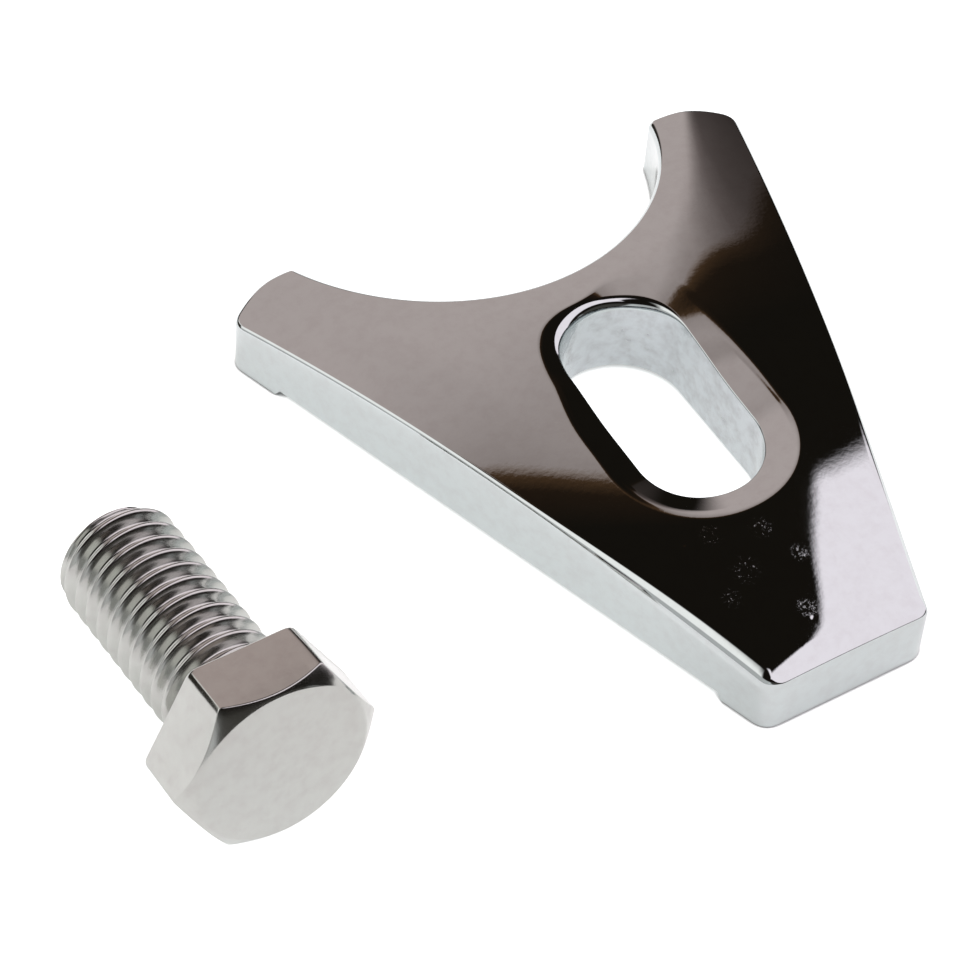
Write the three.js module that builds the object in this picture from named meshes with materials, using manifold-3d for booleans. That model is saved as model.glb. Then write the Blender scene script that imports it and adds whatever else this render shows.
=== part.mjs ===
// Distributor hold-down clamp with its hex cap screw, lying loose beside it.
// Millimetres, +Z up. The origin is the centre of the heel pad, on the plane the clamp rests on,
// and +Y runs along the clamp's line of symmetry towards the fork.
import * as THREE from 'three';
import { mergeVertices } from 'three/addons/utils/BufferGeometryUtils.js';
import Module from 'manifold-3d';

// ---- Clamp: plan ----
const HEEL_PAD_LENGTH = 4.0;
const HEEL_Y = -HEEL_PAD_LENGTH / 2;
const CLAMP_LENGTH = 49.4;        // heel end to the outer corners of the toes
const HEEL_HALF_WIDTH = 7.1;
const TOE_HALF_WIDTH = 23.2;
const HEEL_CORNER_RADIUS = 1.2;
const FORK_RADIUS = 17.0;
const FORK_CENTRE_Y = HEEL_Y + 56.5;
const FORK_HALF_ANGLE = THREE.MathUtils.degToRad(74);
const TOE_END_BULGE = 0.6;
const TOE_PAD_LENGTH = 4.5;

// ---- Clamp: slot for the screw ----
const SLOT_RADIUS = 5.15;
const SLOT_HEEL_CENTRE_Y = HEEL_Y + 20.75;
const SLOT_FORK_CENTRE_Y = HEEL_Y + 29.95;
const SLOT_RIM_WIDTH = 2.4;       // the polished dish round the slot
const SLOT_RIM_DROP = 0.75;
const SLOT_FOOT_ROUND = 0.5;

// ---- Clamp: heights ----
const CREST_HEIGHT = 8.3;
const CREST_Y = HEEL_Y + 26;
const CREST_HEEL_DROP = 2.8;
const CREST_TOE_DROP = 2.75;
const CREST_HEEL_POWER = 2.4;
const CREST_TOE_POWER = 2.22;
const EDGE_HEIGHT = 6.9;
const EDGE_HEEL_DROP = 1.55;
const EDGE_TOE_DROP = 2.24;
const EDGE_POWER = 1.9;
const CREST_HEEL_RUN = 26;
const CREST_TOE_RUN = 25;
const RIDGE_TURN_Y = HEEL_Y + 27;  // from here the highest line runs out along each arm
const RIDGE_SLOPE = 0.766;
const RIDGE_SOFTNESS = 2.13;
const FLANK_POWER = 1.64;
const FLANK_SOFTNESS = 0.184;
const FORK_LIP_DROP = 0.2;
const FORK_LIP_WIDTH = 3.5;
const UNDERSIDE_RELIEF = 0.4;     // the middle stands clear of the surface between the pads

// ---- Screw: 3/8-16 UNC x 3/4 in hex cap screw ----
const THREAD_MAJOR_RADIUS = 9.525 / 2;
const THREAD_PITCH = 25.4 / 16;
const THREAD_DEPTH = 0.86;
const SHANK_LENGTH = 19.05;
const NECK_LENGTH = 1.3;
const NECK_RADIUS = 4.6;
const TIP_CHAMFER_LENGTH = 0.6;
const TIP_RADIUS = 4.2;
const HEAD_ACROSS_FLATS = 14.1;
const HEAD_HEIGHT = 5.4;
const HEAD_FACE_RADIUS = 6.75;
const HEAD_CHAMFER_HEIGHT = 1.1;

// ---- Screw: where it lies, with its tip and one flat of its head on the surface ----
const SCREW_X = -41.85;
const SCREW_BEARING_Y = HEEL_Y + 15.3;

// ---- Facets ----
const CROWN_CELL = 1.6;
const THREAD_FACETS = 28;
const THREAD_ROWS_PER_PITCH = 6;
const ROUND_FACETS = 5;
const CURVE_FACETS = 14;
const TURN_FACETS = 4 * CURVE_FACETS;
const MERGE_DISTANCE = 1e-4;
const CUT_MARGIN = 1;             // how far a cutting block reaches past what it cuts

const wasm = await Module();
wasm.setup();

// A closed geometry as a solid, with its shared corners merged. The geometry itself is used up.
function solidFrom(geometry) {
  geometry.deleteAttribute('normal');
  geometry.deleteAttribute('uv');
  const merged = mergeVertices(geometry, MERGE_DISTANCE);
  return new wasm.Manifold(new wasm.Mesh({
    numProp: 3,
    vertProperties: new Float32Array(merged.attributes.position.array),
    triVerts: new Uint32Array(merged.index.array),
  }));
}

function geometryFrom(solid) {
  const mesh = solid.getMesh();
  const geometry = new THREE.BufferGeometry();
  geometry.setAttribute('position', new THREE.BufferAttribute(mesh.vertProperties, 3));
  geometry.setIndex(new THREE.BufferAttribute(mesh.triVerts, 1));
  geometry.computeVertexNormals();
  return geometry;
}

// ---------------------------------------------------------------- clamp

const SIDE_SLOPE = (TOE_HALF_WIDTH - HEEL_HALF_WIDTH) / CLAMP_LENGTH;
const TOE_Y = HEEL_Y + CLAMP_LENGTH;

function halfWidthAt(y) {
  return HEEL_HALF_WIDTH + SIDE_SLOPE * (y - HEEL_Y);
}

function crestHeight(y) {
  const towardsToe = y > CREST_Y;
  const run = Math.abs(y - CREST_Y) / (towardsToe ? CREST_TOE_RUN : CREST_HEEL_RUN);
  return towardsToe
    ? CREST_HEIGHT - CREST_TOE_DROP * run ** CREST_TOE_POWER
    : CREST_HEIGHT - CREST_HEEL_DROP * run ** CREST_HEEL_POWER;
}

function edgeHeight(y) {
  const towardsToe = y > CREST_Y;
  const run = Math.abs(y - CREST_Y) / (towardsToe ? TOE_Y - CREST_Y : CREST_HEEL_RUN);
  return EDGE_HEIGHT - (towardsToe ? EDGE_TOE_DROP : EDGE_HEEL_DROP) * run ** EDGE_POWER;
}

// Distance of the highest line from the middle: none at the heel, then out along each arm.
function ridgeAt(y) {
  return RIDGE_SLOPE * RIDGE_SOFTNESS * Math.log1p(Math.exp((y - RIDGE_TURN_Y) / RIDGE_SOFTNESS));
}

// How the top falls from the ridge, at 0, to the outer side, at 1, before scaling.
function flankCurve(across) {
  return (across ** 2 + FLANK_SOFTNESS ** 2) ** (FLANK_POWER / 2);
}

// The polished top: a ridge that falls off in a curve to the outer sides, the fork and both ends.
function topHeight(x, y) {
  const crest = crestHeight(y);
  const ridge = ridgeAt(y);
  const across = Math.max(0, (Math.abs(x) - ridge) / (halfWidthAt(y) - ridge));
  const flank = (flankCurve(across) - flankCurve(0)) / (flankCurve(1) - flankCurve(0));
  const outsideFork = Math.hypot(x, y - FORK_CENTRE_Y) - FORK_RADIUS;
  const lip = Math.max(0, 1 - outsideFork / FORK_LIP_WIDTH);
  return crest - Math.max(0, crest - edgeHeight(y)) * flank - FORK_LIP_DROP * lip ** 2;
}

// Adds an arc from the shape's current point to (x, y), bulging by the given height to its right.
function bulgeTo(shape, x, y, bulge) {
  const from = shape.currentPoint.clone();
  const chord = new THREE.Vector2(x, y).sub(from);
  const right = new THREE.Vector2(chord.y, -chord.x).normalize();
  const middle = from.clone().add(new THREE.Vector2(x, y)).multiplyScalar(0.5);
  const control = middle.addScaledVector(right, 2 * bulge);
  shape.quadraticCurveTo(control.x, control.y, x, y);
}

function clampOutline() {
  const innerX = FORK_RADIUS * Math.sin(FORK_HALF_ANGLE);
  const innerY = FORK_CENTRE_Y - FORK_RADIUS * Math.cos(FORK_HALF_ANGLE);
  const shape = new THREE.Shape();
  shape.moveTo(-HEEL_HALF_WIDTH + HEEL_CORNER_RADIUS, HEEL_Y);
  shape.lineTo(HEEL_HALF_WIDTH - HEEL_CORNER_RADIUS, HEEL_Y);
  shape.quadraticCurveTo(
    HEEL_HALF_WIDTH, HEEL_Y,
    halfWidthAt(HEEL_Y + HEEL_CORNER_RADIUS), HEEL_Y + HEEL_CORNER_RADIUS,
  );
  shape.lineTo(TOE_HALF_WIDTH, TOE_Y);
  bulgeTo(shape, innerX, innerY, TOE_END_BULGE);
  shape.absarc(
    0, FORK_CENTRE_Y, FORK_RADIUS,
    FORK_HALF_ANGLE - Math.PI / 2, -FORK_HALF_ANGLE - Math.PI / 2, true,
  );
  bulgeTo(shape, -TOE_HALF_WIDTH, TOE_Y, TOE_END_BULGE);
  shape.lineTo(-halfWidthAt(HEEL_Y + HEEL_CORNER_RADIUS), HEEL_Y + HEEL_CORNER_RADIUS);
  shape.quadraticCurveTo(
    -HEEL_HALF_WIDTH, HEEL_Y,
    -HEEL_HALF_WIDTH + HEEL_CORNER_RADIUS, HEEL_Y,
  );
  return shape;
}

function clampPrism() {
  return solidFrom(new THREE.ExtrudeGeometry(clampOutline(), {
    depth: CREST_HEIGHT + CUT_MARGIN,
    bevelEnabled: false,
    curveSegments: CURVE_FACETS,
  }));
}

// A block that covers the clamp's plan, with its upper face shaped by topHeight.
function crownedBlock() {
  const width = 2 * (TOE_HALF_WIDTH + CUT_MARGIN);
  const startY = HEEL_Y - CUT_MARGIN;
  const endY = FORK_CENTRE_Y;
  const columns = 2 * Math.round(width / CROWN_CELL / 2);
  const rows = Math.round((endY - startY) / CROWN_CELL);
  const block = new THREE.BoxGeometry(width, endY - startY, 2 * CUT_MARGIN, columns, rows, 1);
  block.translate(0, (startY + endY) / 2, 0);
  const points = block.attributes.position;
  for (let i = 0; i < points.count; i += 1) {
    if (points.getZ(i) > 0) {
      points.setZ(i, topHeight(points.getX(i), points.getY(i)));
    }
  }
  return solidFrom(block);
}

// Half-profile of the slot's cutter: round at its foot, straight, then spread out to cut the dished rim.
function slotProfile() {
  const footTop = UNDERSIDE_RELIEF + SLOT_FOOT_ROUND;
  const rimRadius = SLOT_RADIUS + SLOT_RIM_WIDTH;
  const points = [
    new THREE.Vector2(0, -CUT_MARGIN),
    new THREE.Vector2(SLOT_RADIUS + SLOT_FOOT_ROUND, -CUT_MARGIN),
  ];
  for (let i = 0; i <= ROUND_FACETS; i += 1) {
    const turn = (i / ROUND_FACETS) * Math.PI / 2;
    points.push(new THREE.Vector2(
      SLOT_RADIUS + SLOT_FOOT_ROUND * (1 - Math.sin(turn)),
      footTop - SLOT_FOOT_ROUND * Math.cos(turn),
    ));
  }
  for (let i = 0; i <= ROUND_FACETS; i += 1) {
    const along = i / ROUND_FACETS;
    points.push(new THREE.Vector2(
      SLOT_RADIUS + SLOT_RIM_WIDTH * along,
      CREST_HEIGHT - SLOT_RIM_DROP * (1 - along) ** 2,
    ));
  }
  points.push(new THREE.Vector2(rimRadius, CREST_HEIGHT + CUT_MARGIN));
  points.push(new THREE.Vector2(0, CREST_HEIGHT + CUT_MARGIN));
  return points;
}

function slotEnd(y) {
  const turned = new THREE.LatheGeometry(slotProfile(), TURN_FACETS);
  turned.rotateX(Math.PI / 2);
  turned.translate(0, y, 0);
  return solidFrom(turned);
}

function slotCutter() {
  const half = slotProfile().slice(1, -1);
  const mirrored = half.map((p) => new THREE.Vector2(-p.x, p.y)).reverse();
  const middle = new THREE.ExtrudeGeometry(new THREE.Shape([...half, ...mirrored]), {
    depth: SLOT_FORK_CENTRE_Y - SLOT_HEEL_CENTRE_Y,
    bevelEnabled: false,
  });
  middle.rotateX(Math.PI / 2);
  middle.translate(0, SLOT_FORK_CENTRE_Y, 0);
  return solidFrom(middle).add(slotEnd(SLOT_HEEL_CENTRE_Y)).add(slotEnd(SLOT_FORK_CENTRE_Y));
}

// The shallow clearance under the middle, which leaves a heel pad and two toe pads.
function undersideRelief() {
  const length = CLAMP_LENGTH - HEEL_PAD_LENGTH - TOE_PAD_LENGTH;
  const width = 2 * (TOE_HALF_WIDTH + CUT_MARGIN);
  const relief = new THREE.BoxGeometry(width, length, CUT_MARGIN + UNDERSIDE_RELIEF);
  relief.translate(0, HEEL_Y + HEEL_PAD_LENGTH + length / 2, (UNDERSIDE_RELIEF - CUT_MARGIN) / 2);
  return solidFrom(relief);
}

function clampGeometry() {
  const body = clampPrism().intersect(crownedBlock());
  return geometryFrom(body.subtract(slotCutter()).subtract(undersideRelief()));
}

// ---------------------------------------------------------------- screw
// Built on its own axis: the head's bearing face is at 0, its top is at +Z and the tip at -Z.

const FLAT_DISTANCE = HEAD_ACROSS_FLATS / 2;
const CORNER_RADIUS = FLAT_DISTANCE / Math.cos(Math.PI / 6);

// Radius of a right-hand 60 degree thread, a number of pitches along from a crest.
function threadRadius(pitches) {
  const fromCrest = Math.abs(pitches - Math.round(pitches));
  const crestFlat = 1 / 16;
  const rootFlat = 1 / 8;
  const slope = (fromCrest - crestFlat) / (0.5 - rootFlat - crestFlat);
  return THREAD_MAJOR_RADIUS - THREAD_DEPTH * THREE.MathUtils.clamp(slope, 0, 1);
}

function shankRadius(z, angle) {
  const fromTip = z + SHANK_LENGTH;
  const chamfer = THREE.MathUtils.lerp(
    TIP_RADIUS, THREAD_MAJOR_RADIUS, Math.min(1, fromTip / TIP_CHAMFER_LENGTH),
  );
  const thread = threadRadius(z / THREAD_PITCH - angle / (2 * Math.PI));
  const fadeOut = THREE.MathUtils.smoothstep(z, -NECK_LENGTH - THREAD_PITCH, -NECK_LENGTH);
  return Math.min(chamfer, THREE.MathUtils.lerp(thread, NECK_RADIUS, fadeOut));
}

function shankSolid() {
  const rows = Math.round(SHANK_LENGTH / THREAD_PITCH) * THREAD_ROWS_PER_PITCH;
  const shank = new THREE.CylinderGeometry(1, 1, SHANK_LENGTH, THREAD_FACETS, rows);
  shank.rotateX(Math.PI / 2);
  shank.translate(0, 0, -SHANK_LENGTH / 2);
  const points = shank.attributes.position;
  const rowHeight = SHANK_LENGTH / rows;
  for (let i = 0; i < points.count; i += 1) {
    const x = points.getX(i);
    const y = points.getY(i);
    const z = points.getZ(i);
    const radius = shankRadius(z, Math.atan2(y, x));
    const rootedInHead = z > -rowHeight / 2;
    points.setXYZ(i, x * radius, y * radius, rootedInHead ? HEAD_HEIGHT / 2 : z);
  }
  return solidFrom(shank);
}

// A hexagon whose upper corners are turned off by a cone.
function headSolid() {
  const hexagon = new THREE.CylinderGeometry(CORNER_RADIUS, CORNER_RADIUS, HEAD_HEIGHT, 6);
  hexagon.rotateX(Math.PI / 2);
  hexagon.rotateZ(Math.PI / 6);
  hexagon.translate(0, 0, HEAD_HEIGHT / 2);
  const chamferSlope = HEAD_CHAMFER_HEIGHT / (CORNER_RADIUS - HEAD_FACE_RADIUS);
  const coneRadius = CORNER_RADIUS + CUT_MARGIN;
  const cone = new THREE.LatheGeometry([
    new THREE.Vector2(0, -CUT_MARGIN),
    new THREE.Vector2(coneRadius, -CUT_MARGIN),
    new THREE.Vector2(coneRadius, HEAD_HEIGHT - (coneRadius - HEAD_FACE_RADIUS) * chamferSlope),
    new THREE.Vector2(HEAD_FACE_RADIUS, HEAD_HEIGHT),
    new THREE.Vector2(0, HEAD_HEIGHT),
  ], TURN_FACETS);
  cone.rotateX(Math.PI / 2);
  return solidFrom(hexagon).intersect(solidFrom(cone));
}

function screwGeometry() {
  return geometryFrom(headSolid().add(shankSolid()));
}

// Tips the screw down until the last full thread and the head's lowest edge lie on one plane.
function layScrewDown(screw) {
  const threadReach = SHANK_LENGTH - TIP_CHAMFER_LENGTH;
  const tilt = Math.atan((FLAT_DISTANCE - THREAD_MAJOR_RADIUS) / threadReach);
  screw.rotation.set(Math.PI / 2 - tilt, 0, 0);
  screw.position.set(SCREW_X, SCREW_BEARING_Y, FLAT_DISTANCE * Math.cos(tilt));
}

// ---------------------------------------------------------------- assembly

const clamp = new THREE.Mesh(clampGeometry(), new THREE.MeshStandardMaterial({
  color: 0xb9b7b6, metalness: 1, roughness: 0.06,
}));
clamp.name = 'hold_down_clamp';

const screw = new THREE.Mesh(screwGeometry(), new THREE.MeshStandardMaterial({
  color: 0xc4c3bf, metalness: 1, roughness: 0.2,
}));
screw.name = 'hex_cap_screw';
layScrewDown(screw);

const part = new THREE.Group();
part.add(clamp, screw);

export default part;
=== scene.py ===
# Looks of a distributor hold-down clamp and its hexagon-head cap screw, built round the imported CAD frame.
# Shape constants are in millimetres in the part's own frame; the meshes are scaled to metres at the end.
import math
import random

import bmesh
import bpy
from mathutils import Matrix, Vector
from mathutils.geometry import delaunay_2d_cdt
from mathutils.kdtree import KDTree


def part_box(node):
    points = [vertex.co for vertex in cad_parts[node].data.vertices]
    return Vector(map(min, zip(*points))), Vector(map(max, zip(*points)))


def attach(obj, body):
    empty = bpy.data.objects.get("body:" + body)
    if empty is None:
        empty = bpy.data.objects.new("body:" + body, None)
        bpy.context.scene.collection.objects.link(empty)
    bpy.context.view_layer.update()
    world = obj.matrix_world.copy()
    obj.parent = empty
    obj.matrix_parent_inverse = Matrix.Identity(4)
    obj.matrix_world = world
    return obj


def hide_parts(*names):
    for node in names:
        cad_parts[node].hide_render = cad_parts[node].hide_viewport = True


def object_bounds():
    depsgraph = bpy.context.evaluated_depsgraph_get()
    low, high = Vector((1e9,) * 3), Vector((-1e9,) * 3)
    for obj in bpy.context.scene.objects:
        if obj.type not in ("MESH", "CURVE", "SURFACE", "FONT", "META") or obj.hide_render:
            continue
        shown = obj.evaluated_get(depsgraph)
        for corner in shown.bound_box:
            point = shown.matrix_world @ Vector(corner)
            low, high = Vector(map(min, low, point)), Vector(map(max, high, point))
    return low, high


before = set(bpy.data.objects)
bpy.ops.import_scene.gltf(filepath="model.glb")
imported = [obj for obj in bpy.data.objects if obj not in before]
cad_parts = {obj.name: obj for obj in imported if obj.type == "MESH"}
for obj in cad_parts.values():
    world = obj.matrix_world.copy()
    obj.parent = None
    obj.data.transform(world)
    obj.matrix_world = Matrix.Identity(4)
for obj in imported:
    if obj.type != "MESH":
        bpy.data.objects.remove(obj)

cad_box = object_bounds()
MM = 0.001
clamp_low, clamp_high = (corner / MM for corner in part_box("hold_down_clamp"))
screw_low, screw_high = (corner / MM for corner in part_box("hex_cap_screw"))

# ---------------------------------------------------------------- clamp: shape in millimetres
CLAMP_LENGTH = 49.4
HEEL_Y = clamp_low.y
TOE_Y = HEEL_Y + CLAMP_LENGTH
HEEL_HALF_WIDTH = 7.1
TOE_HALF_WIDTH = clamp_high.x
SIDE_SLOPE = (TOE_HALF_WIDTH - HEEL_HALF_WIDTH) / (TOE_Y - HEEL_Y)
FORK_RADIUS = 17.0
FORK_CENTRE_Y = HEEL_Y + 56.5
FORK_HALF_ANGLE = math.radians(74)
TOE_END_BULGE = 0.6
TOE_TIP_TRIM = 0.55
TOE_CORNER_TRIM = 1.1
HEEL_CORNER_TRIM = 1.3
CREST_Y = HEEL_Y + 26
CREST_HEIGHT = 8.3
CREST_HEEL_DROP, CREST_HEEL_RUN, CREST_HEEL_POWER = 2.8, 26.0, 2.4
CREST_TOE_DROP, CREST_TOE_RUN, CREST_TOE_POWER = 2.75, 25.0, 2.22
EDGE_HEIGHT = 6.9
EDGE_HEEL_DROP, EDGE_TOE_DROP, EDGE_POWER = 1.55, 2.24, 1.9
RIDGE_TURN_Y, RIDGE_SLOPE, RIDGE_SOFTNESS = HEEL_Y + 27, 0.766, 2.13
FLANK_POWER, FLANK_SOFTNESS = 1.64, 0.184
HEEL_ROLL_DROP, HEEL_ROLL_LENGTH = 0.22, 2.0
FORK_LIP_DROP, FORK_LIP_WIDTH = 0.2, 3.5
SLOT_RADIUS = 5.15
SLOT_HEEL_CENTRE_Y, SLOT_FORK_CENTRE_Y = HEEL_Y + 20.75, HEEL_Y + 29.95
RIM_TURN, RIM_SLOPE, RIM_TILT = 1.0, 1.75, math.radians(21)
RIM_FORK_TURN, RIM_FORK_SLOPE, RIM_FORK_TILT = 0.25, 0.1, math.radians(5)
RIM_LEFT_TURN, RIM_LEFT_SLOPE, RIM_LEFT_TILT = 0.6, 0.7, math.radians(9)
RIM_RIGHT_TURN, RIM_RIGHT_SLOPE, RIM_RIGHT_TILT = 1.0, 1.6, math.radians(0.5)
RIM_BREAK, RIM_FORK_BREAK = 0.15, 0.85
RIM_FADE_START_Y, RIM_FADE_END_Y = HEEL_Y + 24.5, HEEL_Y + 33.0
RIM_RIGHT_FADE_START_Y, RIM_RIGHT_FADE_END_Y = HEEL_Y + 23.0, HEEL_Y + 31.8
DISH_CURVE = 0.02
SLOT_FOOT_ROUND = 0.5
TOP_EDGE_ROUND = 0.45
FORK_EDGE_ROUND = 0.7
HEEL_SIDE_ROUND, HEEL_SIDE_END_Y, HEEL_SIDE_RUN = 1.5, HEEL_Y + 24.0, 20.0
HEEL_FRONT_ROUND = 0.08
FOOT_EDGE_ROUND = 0.5
PAD_EDGE_ROUND = 0.12
RELIEF_HEIGHT = 0.4
RELIEF_START_Y, RELIEF_END_Y = HEEL_Y + 4.0, TOE_Y - 4.5
RELIEF_RAMP = 0.25

OUTLINE_STEP = 0.45
SLOT_STEP = OUTLINE_STEP * 0.7
CORNER_STEPS = 12
LATTICE_STEP = 0.55
ROW_SPACING = LATTICE_STEP * 0.866
FOOT_ROW_STEP, FOOT_COLUMN_STEP, FOOT_CLEARANCE = 1.3, 1.1, 0.5
WALL_ROWS = 12
ROUND_ROWS = 5
BAND_STEPS = [5, 3, 5]
SLOPE_REACH = 0.05
DENT_COUNT, DENT_SPACING = 8, 1.2
DENT_START_Y, DENT_RUN = HEEL_Y + 2, 12

# Scuff clusters on the top: across from the middle, up from the heel, and radius.
SCUFFS = [(-4.3, 12.5, 1.3), (-0.7, 11.2, 1.4), (0.6, 8.2, 1.0),
          (-5.8, 7.4, 1.3), (-1.5, 4.2, 1.1), (-3.6, 8.8, 1.8)]

# ---------------------------------------------------------------- screw: shape in millimetres on its own axis
SCREW_MAJOR_RADIUS = 4.8
SCREW_PITCH = 1.5875
THREAD_DEPTH = 0.86
SHANK_LENGTH = 19.05
CREST_SHARE, ROOT_SHARE = 0.08, 0.9
NECK_LENGTH, NECK_FADE = 1.3, 0.9
NECK_RADIUS = 4.6
NECK_TOP = -0.35
TIP_CHAMFER_LENGTH = 0.6
TIP_RADIUS = 4.2
HEX_HALF_FLATS = 14.1 / 2
HEX_CORNER_ROUND, HEX_FOOT_CORNER_ROUND = 0.3, 1.1
HEAD_HEIGHT = 5.4
HEAD_FACE_RADIUS = 6.75
HEAD_FACE_RINGS = (0.35, 1.2, 2.4, 3.6, 4.8, 6.0)
HEAD_FOOT_RADIUS = 5.6
HEAD_CHAMFER_HEIGHT = 1.1
HEAD_FACE_ROUND, HEAD_SHOULDER_ROUND, HEAD_FOOT_ROUND = 0.22, 0.09, 0.3
TIP_RING_SHARES = (0.97, 0.6, 0.3)
SCREW_X = (screw_low.x + screw_high.x) / 2
SCREW_TILT = math.atan((HEX_HALF_FLATS - SCREW_MAJOR_RADIUS) / (SHANK_LENGTH - TIP_CHAMFER_LENGTH))
SCREW_BEARING_Y = screw_high.y - SHANK_LENGTH * math.cos(SCREW_TILT) - TIP_RADIUS * math.sin(SCREW_TILT)
SCREW_BEARING_Z = HEX_HALF_FLATS * math.cos(SCREW_TILT)
THREAD_COLUMNS = 96
ROWS_PER_TURN = 16
HEAD_COLUMNS_PER_FLAT = 40


def smooth(t):
    """0 below 0, 1 above 1, and a smooth S between."""
    t = min(1.0, max(0.0, t))
    return t * t * (3 - 2 * t)


def flat(x, y):
    """A point or a direction in a plane."""
    return Vector((x, y))


# ---------------------------------------------------------------- clamp surface
def half_width(y):
    return HEEL_HALF_WIDTH + SIDE_SLOPE * (y - HEEL_Y)


def ridge_x(y):
    """Distance of the highest line from the middle: none at the heel, then out along each arm."""
    return RIDGE_SLOPE * RIDGE_SOFTNESS * math.log1p(math.exp((y - RIDGE_TURN_Y) / RIDGE_SOFTNESS))


def flank_curve(across):
    """How the top falls from the ridge, at 0, to the outer side, at 1, before scaling."""
    return (across * across + FLANK_SOFTNESS ** 2) ** (FLANK_POWER / 2)


def crown(x, y):
    """Height of the polished top before wear."""
    dy = y - CREST_Y
    toe = dy > 0
    if toe:
        crest = CREST_HEIGHT - CREST_TOE_DROP * (dy / CREST_TOE_RUN) ** CREST_TOE_POWER
        edge = EDGE_HEIGHT - EDGE_TOE_DROP * (dy / (TOE_Y - CREST_Y)) ** EDGE_POWER
    else:
        crest = CREST_HEIGHT - CREST_HEEL_DROP * (-dy / CREST_HEEL_RUN) ** CREST_HEEL_POWER
        edge = EDGE_HEIGHT - EDGE_HEEL_DROP * (-dy / CREST_HEEL_RUN) ** EDGE_POWER
    ridge = ridge_x(y)
    across = max(0.0, (abs(x) - ridge) / (half_width(y) - ridge))
    flank = (flank_curve(across) - flank_curve(0)) / (flank_curve(1) - flank_curve(0))
    lip = max(0.0, 1 - (math.hypot(x, y - FORK_CENTRE_Y) - FORK_RADIUS) / FORK_LIP_WIDTH)
    roll = max(0.0, 1 - (y - HEEL_Y) / HEEL_ROLL_LENGTH)
    return crest - max(0.0, crest - edge) * flank - FORK_LIP_DROP * lip ** 2 - HEEL_ROLL_DROP * roll ** 2


def make_dents():
    """(x, y, radius, depth) of small dents from use near the heel, where the screw and spanner knock it."""
    rng = random.Random(20)
    dents = []
    while len(dents) < DENT_COUNT:
        y = DENT_START_Y + DENT_RUN * rng.random()
        x = 1 - rng.random() * (half_width(y) - 0.5)
        radius = 0.10 + 0.08 * rng.random()
        if math.hypot(x, y - SLOT_HEEL_CENTRE_Y) < SLOT_RADIUS + RIM_TURN + RIM_SLOPE + 1.0:
            continue
        if any(math.hypot(x - d[0], y - d[1]) < DENT_SPACING for d in dents):
            continue
        dents.append((x, y, radius, radius * (0.03 + 0.04 * rng.random())))
    return dents


DENTS = make_dents()


def top_height(x, y):
    """Crown with its dents."""
    z = crown(x, y)
    for dx, dy, radius, depth in DENTS:
        r2 = ((x - dx) ** 2 + (y - dy) ** 2) / radius ** 2
        if r2 < 6:
            z -= depth * math.exp(-r2)
    return z


def top_normal(x, y):
    reach = 0.04
    slope_x = (top_height(x + reach, y) - top_height(x - reach, y)) / (2 * reach)
    slope_y = (top_height(x, y + reach) - top_height(x, y - reach)) / (2 * reach)
    return Vector((-slope_x, -slope_y, 1)).normalized()


def foot_height(x, y):
    """Underside height: pads at 0, the relief between them raised. It is the same all the way across."""
    rise = smooth((y - RELIEF_START_Y) / RELIEF_RAMP + 0.5)
    fall = smooth((RELIEF_END_Y - y) / RELIEF_RAMP + 0.5)
    return RELIEF_HEIGHT * rise * fall


# ---------------------------------------------------------------- outlines
def arc_points(centre, radius, start, end, step):
    """Points along an arc from one angle to another."""
    count = max(4, int(abs(end - start) * radius / step))
    return [centre + radius * Vector((math.cos(start + (end - start) * i / count),
                                      math.sin(start + (end - start) * i / count)))
            for i in range(count + 1)]


def line_points(a, b, step):
    count = max(1, int((b - a).length / step))
    return [a.lerp(b, i / count) for i in range(count + 1)]


def bulged_points(a, b, bulge, step):
    """From a to b along a shallow parabola that bulges to the right of the way it goes."""
    side = (b - a).normalized()
    out = Vector((side.y, -side.x))
    count = max(4, int((b - a).length / step))
    return [a.lerp(b, i / count) + out * bulge * 4 * (i / count) * (1 - i / count) for i in range(count + 1)]


def trim(points, start, end):
    """The polyline without its first `start` and last `end` millimetres."""
    def cut(seq, amount):
        while amount > 0:
            step = (seq[1] - seq[0]).length
            if step > amount:
                return [seq[0].lerp(seq[1], amount / step)] + seq[1:]
            amount -= step
            seq = seq[1:]
        return seq
    return cut(cut(points, start)[::-1], end)[::-1]


def rounded_loop(segments, trims):
    """Joins segments end to end into one closed loop; each joint is rounded by a quadratic curve."""
    count = len(segments)
    cut = [trim(seg, trims[i], trims[(i + 1) % count]) for i, seg in enumerate(segments)]
    loop = []
    for i, seg in enumerate(cut):
        loop += seg
        corner, after = segments[i][-1], cut[(i + 1) % count][0]
        for k in range(1, CORNER_STEPS):
            t = k / CORNER_STEPS
            loop.append(seg[-1] * (1 - t) ** 2 + corner * 2 * t * (1 - t) + after * t ** 2)
    return [p for i, p in enumerate(loop) if (p - loop[i - 1]).length > 1e-4]


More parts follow.
